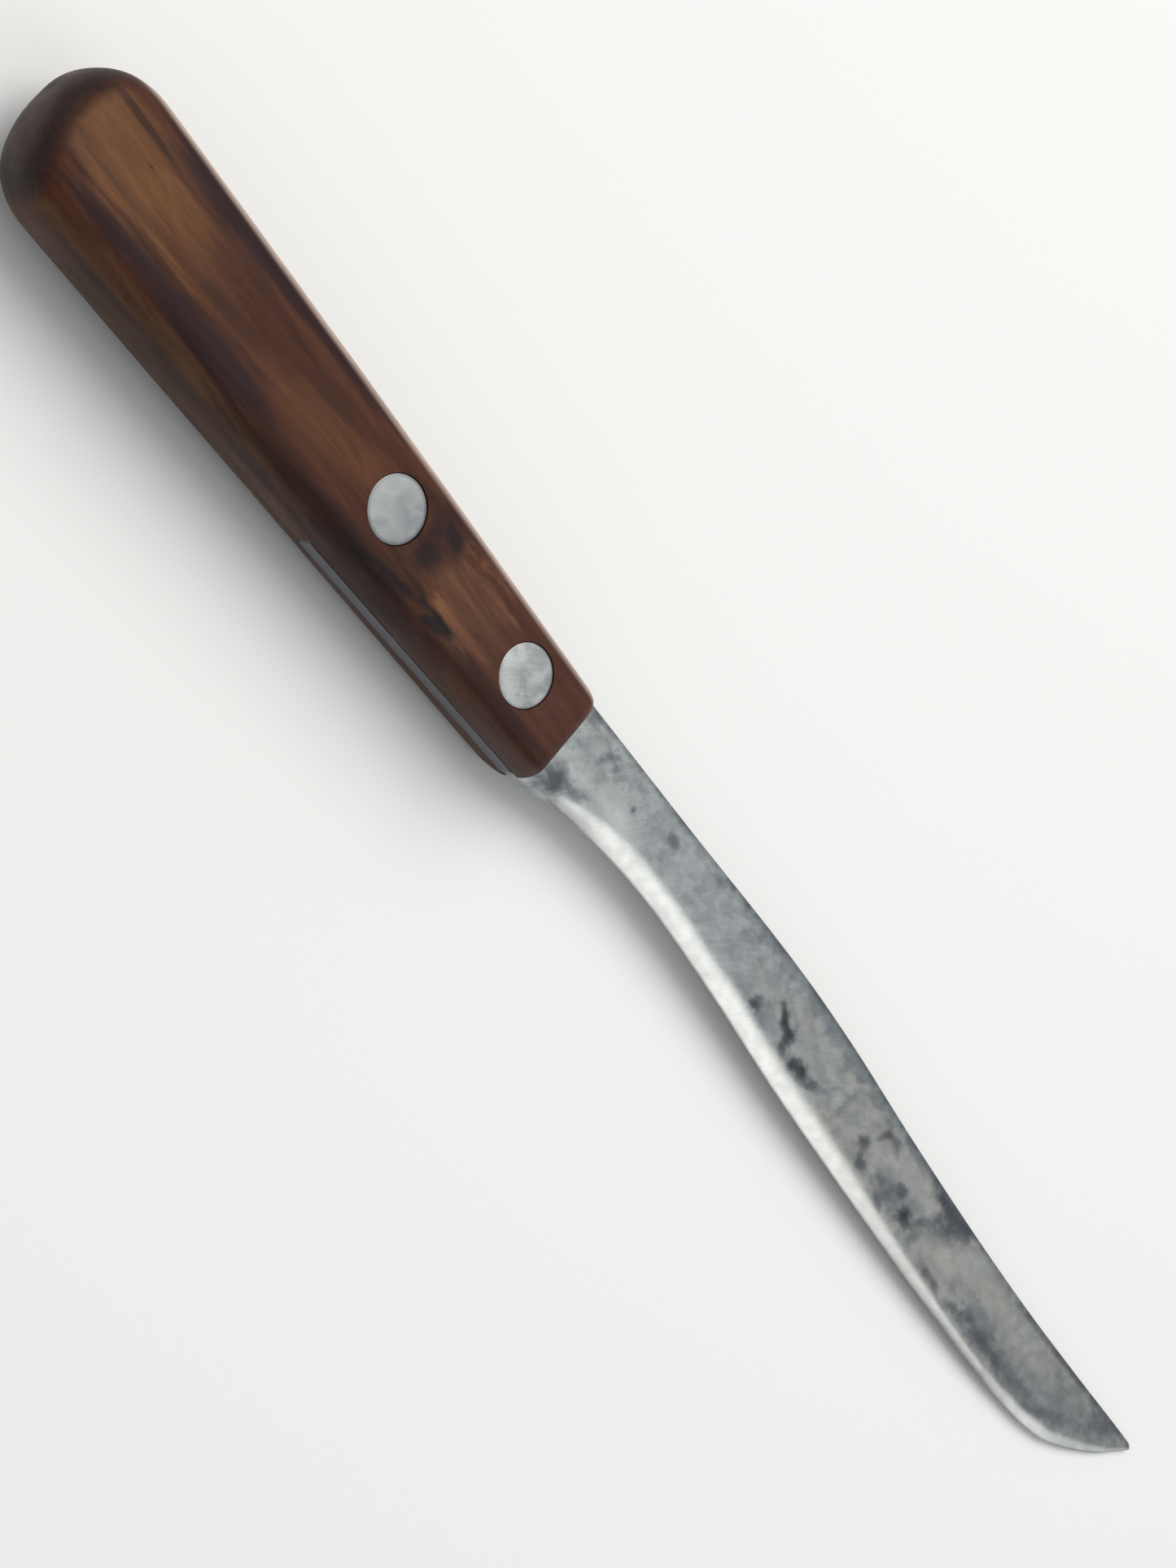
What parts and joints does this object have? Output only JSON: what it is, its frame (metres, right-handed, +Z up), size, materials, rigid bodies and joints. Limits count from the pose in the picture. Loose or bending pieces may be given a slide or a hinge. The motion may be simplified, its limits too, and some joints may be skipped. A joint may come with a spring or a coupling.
{
  "type": "boning knife",
  "caption": "Slim curved boning knife: a narrow half-tang steel blade in a slotted rounded wooden handle, held by flush cutler's rivets.",
  "frame": {"origin": "bottom centre of the object's box, with the knife lying on its side", "axes": "+X along the blade towards the point, +Y towards the spine, +Z up out of the cheek that faces up"},
  "size_m": [0.2504, 0.02, 0.0128],
  "materials": {
    "blade": "worn satin carbon steel with grey patina and a bright sharpened bevel",
    "handle": "oiled reddish-brown hardwood, worn smooth, with dark streaks",
    "rivet": "satin light grey metal, lightly scratched"
  },
  "bodies": {
    "root": {"blade": "blade", "handle": "handle", "rivet_rear_male": "rivet", "rivet_rear_female": "rivet", "rivet_front_male": "rivet", "rivet_front_female": "rivet"}
  },
  "joints": []
}
